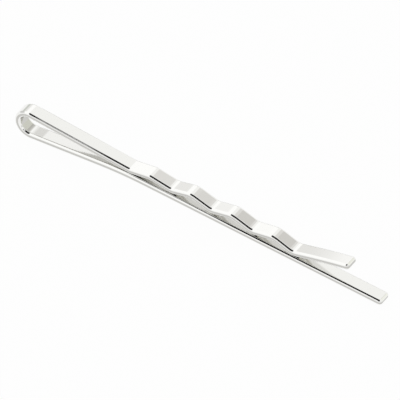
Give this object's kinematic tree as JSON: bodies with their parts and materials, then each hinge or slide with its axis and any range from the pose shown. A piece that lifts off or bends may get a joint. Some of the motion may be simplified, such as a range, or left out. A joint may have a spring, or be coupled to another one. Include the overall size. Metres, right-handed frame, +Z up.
{
  "type": "hair grip",
  "caption": "Wavy hair grip: a strip of bright plated spring wire bent round an eye, with a flat leg and a shorter crimped leg that springs open.",
  "frame": {"origin": "centre of the footprint, at the level of the table that the grip lies on with its flat leg down", "axes": "+X from the eye to the tips, +Y across the strip, +Z up from the flat leg to the crimped leg"},
  "size_m": [0.0595, 0.0022, 0.0048],
  "materials": {
    "plating": "bright silver-coloured plating over spring steel, polished"
  },
  "bodies": {
    "flat_leg_and_eye": {"flat_leg": "plating", "spring_eye": "plating"},
    "crimped_leg": {"crimped_leg": "plating"}
  },
  "joints": [
    {"name": "leg_opening", "type": "hinge", "parent": "flat_leg_and_eye", "child": "crimped_leg", "pos_m": [-0.02688, 0, 0.00473], "axis": [0, -1, 0], "range_deg": [0, 12], "stiffness_Nm_per_rad": 0.15, "springref_deg": -2.01}
  ]
}
